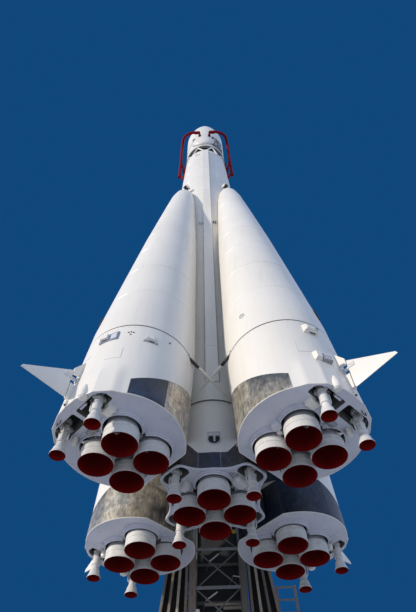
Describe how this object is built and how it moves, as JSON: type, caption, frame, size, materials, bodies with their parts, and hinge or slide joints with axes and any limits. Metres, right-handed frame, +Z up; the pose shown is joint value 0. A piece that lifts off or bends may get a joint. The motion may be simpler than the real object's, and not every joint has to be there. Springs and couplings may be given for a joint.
{
  "type": "four-booster space rocket on its display pylon, 1:2 scale model",
  "caption": "Tall liquid-fuel space rocket with strap-on boosters, swinging steering chambers and air rudders, held upright on a steel lattice pylon; a half-size model.",
  "frame": {"origin": "on the floor at the centre of the slab, under the rocket's axis", "axes": "+Z up along the rocket's axis; the rocket's front faces -Y, the pylon stands behind it on +Y"},
  "size_m": [5, 5, 22.05],
  "materials": {
    "white_paint": "weathered warm white paint",
    "shaded_paint": "grey-white paint",
    "engine_paint": "white paint outside, dark red inside",
    "dark_red": "dull dark red paint",
    "bare_steel": "blotchy heat-tinted steel",
    "red_paint": "red paint",
    "pylon_steel": "dark weathered paint",
    "slab_grey": "plain matt grey"
  },
  "bodies": {
    "rocket_on_pylon": {"booster_tail_front_left": "white_paint", "booster_tank_front_left": "white_paint", "booster_nose_front_left": "white_paint", "booster_engine_front_left": "engine_paint", "booster_tail_front_right": "white_paint", "booster_tank_front_right": "white_paint", "booster_nose_front_right": "white_paint", "booster_engine_front_right": "engine_paint", "booster_tail_rear_right": "white_paint", "booster_tank_rear_right": "white_paint", "booster_nose_rear_right": "white_paint", "booster_engine_rear_right": "engine_paint", "booster_tail_rear_left": "white_paint", "booster_tank_rear_left": "white_paint", "booster_nose_rear_left": "white_paint", "booster_engine_rear_left": "engine_paint", "core_tail": "shaded_paint", "core_lower_tank": "white_paint", "core_upper_tank": "white_paint", "core_engine": "engine_paint", "tie_frame": "bare_steel", "interstage_truss": "white_paint", "upper_engine": "engine_paint", "upper_stage": "white_paint", "payload_fairing": "white_paint", "red_arm_left": "red_paint", "red_arm_right": "red_paint", "pylon_slab": "slab_grey", "pylon_mast_front": "pylon_steel", "pylon_mast_rear": "pylon_steel", "pylon_mast_left": "pylon_steel", "pylon_mast_right": "pylon_steel", "pylon_boom_front": "pylon_steel", "pylon_boom_rear": "pylon_steel", "pylon_boom_left": "pylon_steel", "pylon_boom_right": "pylon_steel", "pylon_cradle_low": "pylon_steel", "pylon_cradle_middle": "pylon_steel", "pylon_saddle": "pylon_steel", "pylon_side_beam_left": "pylon_steel", "pylon_side_beam_right": "pylon_steel", "pylon_ladder": "pylon_steel"},
    "booster_vernier_a_front_left": {"booster_vernier_a_front_left": "engine_paint"},
    "booster_vernier_b_front_left": {"booster_vernier_b_front_left": "engine_paint"},
    "air_rudder_front_left": {"air_rudder_front_left": "white_paint"},
    "booster_vernier_a_front_right": {"booster_vernier_a_front_right": "engine_paint"},
    "booster_vernier_b_front_right": {"booster_vernier_b_front_right": "engine_paint"},
    "air_rudder_front_right": {"air_rudder_front_right": "white_paint"},
    "booster_vernier_a_rear_right": {"booster_vernier_a_rear_right": "engine_paint"},
    "booster_vernier_b_rear_right": {"booster_vernier_b_rear_right": "engine_paint"},
    "air_rudder_rear_right": {"air_rudder_rear_right": "white_paint"},
    "booster_vernier_a_rear_left": {"booster_vernier_a_rear_left": "engine_paint"},
    "booster_vernier_b_rear_left": {"booster_vernier_b_rear_left": "engine_paint"},
    "air_rudder_rear_left": {"air_rudder_rear_left": "white_paint"},
    "core_vernier_front_left": {"core_vernier_front_left": "engine_paint"},
    "core_vernier_front_right": {"core_vernier_front_right": "engine_paint"},
    "core_vernier_rear_right": {"core_vernier_rear_right": "engine_paint"},
    "core_vernier_rear_left": {"core_vernier_rear_left": "engine_paint"}
  },
  "joints": [
    {"name": "booster_vernier_a_front_left_swing", "type": "hinge", "parent": "rocket_on_pylon", "child": "booster_vernier_a_front_left", "pos_m": [-1.49023, -1.08647, 3.615], "axis": [-0.7071, -0.7071, 0], "range_deg": [-45, 45]},
    {"name": "booster_vernier_b_front_left_swing", "type": "hinge", "parent": "rocket_on_pylon", "child": "booster_vernier_b_front_left", "pos_m": [-1.08647, -1.49023, 3.615], "axis": [-0.7071, -0.7071, 0], "range_deg": [-45, 45]},
    {"name": "air_rudder_front_left_turn", "type": "hinge", "parent": "rocket_on_pylon", "child": "air_rudder_front_left", "pos_m": [-1.44957, -1.44957, 3.97], "axis": [-0.7071, -0.7071, 0], "range_deg": [-25, 25]},
    {"name": "booster_vernier_a_front_right_swing", "type": "hinge", "parent": "rocket_on_pylon", "child": "booster_vernier_a_front_right", "pos_m": [1.08647, -1.49023, 3.615], "axis": [0.7071, -0.7071, 0], "range_deg": [-45, 45]},
    {"name": "booster_vernier_b_front_right_swing", "type": "hinge", "parent": "rocket_on_pylon", "child": "booster_vernier_b_front_right", "pos_m": [1.49023, -1.08647, 3.615], "axis": [0.7071, -0.7071, 0], "range_deg": [-45, 45]},
    {"name": "air_rudder_front_right_turn", "type": "hinge", "parent": "rocket_on_pylon", "child": "air_rudder_front_right", "pos_m": [1.44957, -1.44957, 3.97], "axis": [0.7071, -0.7071, 0], "range_deg": [-25, 25]},
    {"name": "booster_vernier_a_rear_right_swing", "type": "hinge", "parent": "rocket_on_pylon", "child": "booster_vernier_a_rear_right", "pos_m": [1.49023, 1.08647, 3.615], "axis": [0.7071, 0.7071, 0], "range_deg": [-45, 45]},
    {"name": "booster_vernier_b_rear_right_swing", "type": "hinge", "parent": "rocket_on_pylon", "child": "booster_vernier_b_rear_right", "pos_m": [1.08647, 1.49023, 3.615], "axis": [0.7071, 0.7071, 0], "range_deg": [-45, 45]},
    {"name": "air_rudder_rear_right_turn", "type": "hinge", "parent": "rocket_on_pylon", "child": "air_rudder_rear_right", "pos_m": [1.44957, 1.44957, 3.97], "axis": [0.7071, 0.7071, 0], "range_deg": [-25, 25]},
    {"name": "booster_vernier_a_rear_left_swing", "type": "hinge", "parent": "rocket_on_pylon", "child": "booster_vernier_a_rear_left", "pos_m": [-1.08647, 1.49023, 3.615], "axis": [-0.7071, 0.7071, 0], "range_deg": [-45, 45]},
    {"name": "booster_vernier_b_rear_left_swing", "type": "hinge", "parent": "rocket_on_pylon", "child": "booster_vernier_b_rear_left", "pos_m": [-1.49023, 1.08647, 3.615], "axis": [-0.7071, 0.7071, 0], "range_deg": [-45, 45]},
    {"name": "air_rudder_rear_left_turn", "type": "hinge", "parent": "rocket_on_pylon", "child": "air_rudder_rear_left", "pos_m": [-1.44957, 1.44957, 3.97], "axis": [-0.7071, 0.7071, 0], "range_deg": [-25, 25]},
    {"name": "core_vernier_front_left_swing", "type": "hinge", "parent": "rocket_on_pylon", "child": "core_vernier_front_left", "pos_m": [-0.41118, -0.41118, 3.58], "axis": [-0.7071, -0.7071, 0], "range_deg": [-45, 45]},
    {"name": "core_vernier_front_right_swing", "type": "hinge", "parent": "rocket_on_pylon", "child": "core_vernier_front_right", "pos_m": [0.41118, -0.41118, 3.58], "axis": [0.7071, -0.7071, 0], "range_deg": [-45, 45]},
    {"name": "core_vernier_rear_right_swing", "type": "hinge", "parent": "rocket_on_pylon", "child": "core_vernier_rear_right", "pos_m": [0.41118, 0.41118, 3.58], "axis": [0.7071, 0.7071, 0], "range_deg": [-45, 45]},
    {"name": "core_vernier_rear_left_swing", "type": "hinge", "parent": "rocket_on_pylon", "child": "core_vernier_rear_left", "pos_m": [-0.41118, 0.41118, 3.58], "axis": [-0.7071, 0.7071, 0], "range_deg": [-45, 45]}
  ]
}
